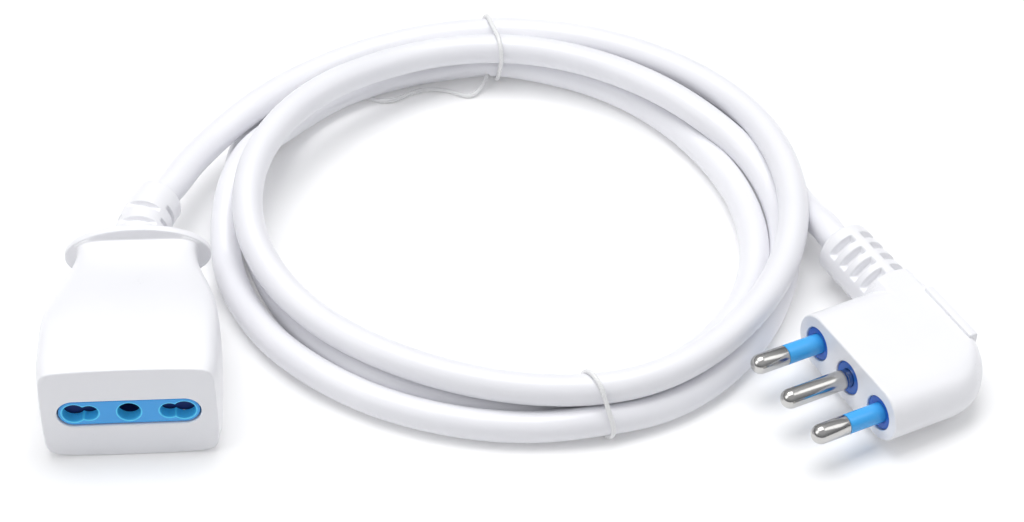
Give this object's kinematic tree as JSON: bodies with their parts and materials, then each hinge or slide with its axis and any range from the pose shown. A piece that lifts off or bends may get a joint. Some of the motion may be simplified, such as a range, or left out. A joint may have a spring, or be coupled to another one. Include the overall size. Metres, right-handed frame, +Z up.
{
  "type": "extension cord",
  "caption": "White mains extension cord with an in-line socket and a right-angle plug, its cable wound in a flat coil and held by wire ties.",
  "frame": {"origin": "on the resting surface, under the middle of the in-line socket's housing", "axes": "-Y out of the socket's mating face, +Y along its housing towards its cable, +X towards the coil and the plug, +Z up"},
  "size_m": [0.2265, 0.1635, 0.0285],
  "materials": {
    "white_plastic": "soft satin white",
    "cable_jacket": "soft satin white vinyl",
    "blue_plastic": "satin mid blue",
    "blue_sleeve": "glossy bright blue",
    "navy_plastic": "matt navy",
    "tie_plastic": "glossy off-white over wire",
    "nickel": "polished nickel plate",
    "brass": "plain stamped brass",
    "spring_steel": "drawn spring steel",
    "brown_core": "matt brown insulation",
    "blue_core": "matt blue insulation",
    "earth_core": "matt green and yellow insulation"
  },
  "bodies": {
    "cord": {"socket_housing": "white_plastic", "socket_insert": "blue_plastic", "shutter_spring_left": "spring_steel", "shutter_spring_right": "spring_steel", "contact_carrier": "blue_plastic", "contact_line": "brass", "contact_neutral": "brass", "contact_earth": "brass", "socket_core_brown": "brown_core", "socket_core_blue": "blue_core", "socket_core_earth": "earth_core", "socket_strain_relief": "white_plastic", "cable_socket_lead": "cable_jacket", "cable_coil": "cable_jacket", "cable_plug_lead": "cable_jacket", "tie_front": "tie_plastic", "tie_back": "tie_plastic", "tie_back_tail": "tie_plastic", "plug_housing": "white_plastic", "pin_bridge": "blue_plastic", "pin_line": "nickel", "pin_earth": "nickel", "pin_neutral": "nickel", "pin_sleeve_line": "blue_sleeve", "pin_sleeve_neutral": "blue_sleeve", "crimp_line": "brass", "crimp_earth": "brass", "crimp_neutral": "brass", "plug_core_brown": "brown_core", "plug_core_earth": "earth_core", "plug_core_blue": "blue_core", "plug_strain_relief": "white_plastic"},
    "shutter": {"socket_shutter": "navy_plastic"}
  },
  "joints": [
    {"name": "shutter_slide", "type": "slide", "parent": "cord", "child": "shutter", "axis": [0, 0, 1], "range_m": [-0.006, 0], "stiffness_N_per_m": 150, "springref_m": 0.002, "deforming": ["shutter_spring_left", "shutter_spring_right"]}
  ]
}
